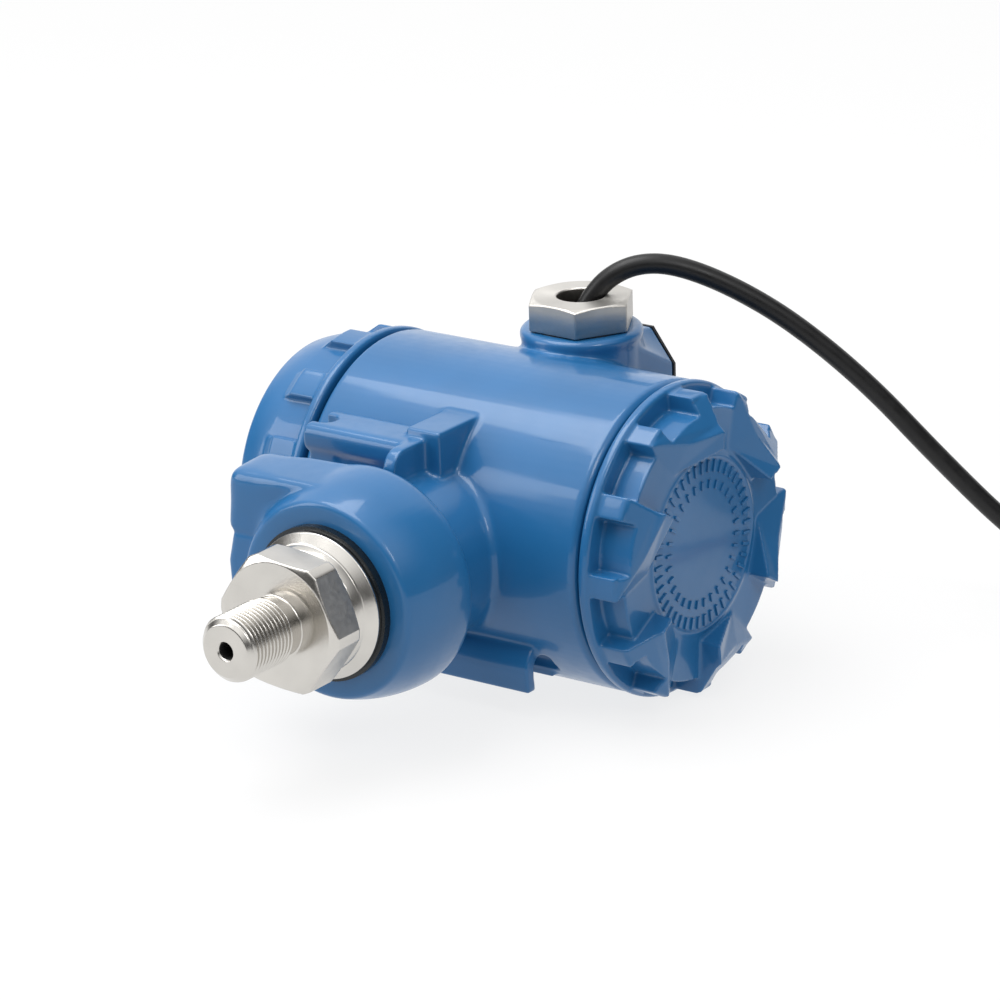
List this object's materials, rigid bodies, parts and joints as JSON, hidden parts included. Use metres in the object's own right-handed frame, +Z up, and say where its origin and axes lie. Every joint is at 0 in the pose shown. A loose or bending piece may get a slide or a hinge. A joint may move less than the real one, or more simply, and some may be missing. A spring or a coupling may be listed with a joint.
{
  "type": "pressure transmitter head",
  "caption": "Blue cast pressure transmitter head with screw covers, a hexagonal steel process fitting with a male thread, and a cable gland with a black cable that ends in a tied coil.",
  "frame": {"origin": "middle of the flat shoulder of the process fitting, where the process thread starts", "axes": "-Y along the process thread towards the process, +X along the housing barrel towards the terminal cover, +Z up along the cable gland"},
  "size_m": [0.2133, 0.2997, 0.0997],
  "materials": {
    "blue_paint": "semi-gloss blue enamel on an aluminium casting",
    "bright_steel": "bright turned stainless steel",
    "black_rubber": "matt black moulded rubber",
    "clear_glass": "clear toughened glass",
    "dark_metal": "dark anodised threaded ring",
    "wire_sleeve": "thin wire insulation",
    "board_green": "green solder mask on glass laminate",
    "brass_metal": "plain turned brass",
    "chip_black": "dull black moulded resin",
    "case_grey": "fine textured grey plastic",
    "panel_glass": "grey-green display panel",
    "block_black": "black moulded plastic",
    "cable_jacket": "smooth satin black jacket",
    "tie_black": "black nylon strap",
    "plate_black": "black painted plate"
  },
  "bodies": {
    "head": {"housing": "blue_paint", "process_fitting": "bright_steel", "fitting_gasket": "black_rubber", "sensor_seal": "black_rubber", "sensor_cell": "bright_steel", "sensor_retainer": "bright_steel", "sensor_wires": "wire_sleeve", "circuit_board": "board_green", "board_posts": "brass_metal", "board_screws": "bright_steel", "board_components": "chip_black", "display_case": "case_grey", "display_panel": "panel_glass", "display_spacers": "brass_metal", "display_screws": "bright_steel", "wall_bush": "case_grey", "wall_pins": "brass_metal", "terminal_block": "block_black", "terminal_clamps": "brass_metal", "terminal_screws": "bright_steel", "block_screws": "bright_steel", "earth_screw": "brass_metal", "cable_gland": "bright_steel", "gland_seal": "black_rubber", "cable_potting": "chip_black", "cable": "cable_jacket", "cable_coil": "cable_jacket", "coil_tie": "tie_black", "cable_end": "cable_jacket", "end_leads": "wire_sleeve", "end_ferrules": "bright_steel", "cable_cores": "wire_sleeve", "rear_plate": "plate_black"},
    "terminal_seal": {"terminal_cover_seal": "black_rubber"},
    "terminal_cover": {"terminal_cover": "blue_paint"},
    "display_seal": {"display_cover_seal": "black_rubber"},
    "display_cover": {"display_cover": "blue_paint", "window_gasket": "black_rubber", "window_glass": "clear_glass", "window_ring": "dark_metal"}
  },
  "joints": [
    {"name": "terminal_cover_travel", "type": "slide", "parent": "head", "child": "terminal_seal", "axis": [1, 0, 0], "range_m": [0, 0.0106]},
    {"name": "terminal_cover_turn", "type": "hinge", "parent": "terminal_seal", "child": "terminal_cover", "pos_m": [0.05, 0.098, 0], "axis": [1, 0, 0], "range_deg": [0, 2520]},
    {"name": "display_cover_travel", "type": "slide", "parent": "head", "child": "display_seal", "axis": [-1, 0, 0], "range_m": [0, 0.0106]},
    {"name": "display_cover_turn", "type": "hinge", "parent": "display_seal", "child": "display_cover", "pos_m": [-0.05, 0.098, 0], "axis": [-1, 0, 0], "range_deg": [0, 2520]}
  ],
  "couplings": [
    {"joint": "terminal_cover_travel", "follows": "terminal_cover_turn", "m_per_rad": 0.00023873},
    {"joint": "display_cover_travel", "follows": "display_cover_turn", "m_per_rad": 0.00023873}
  ]
}
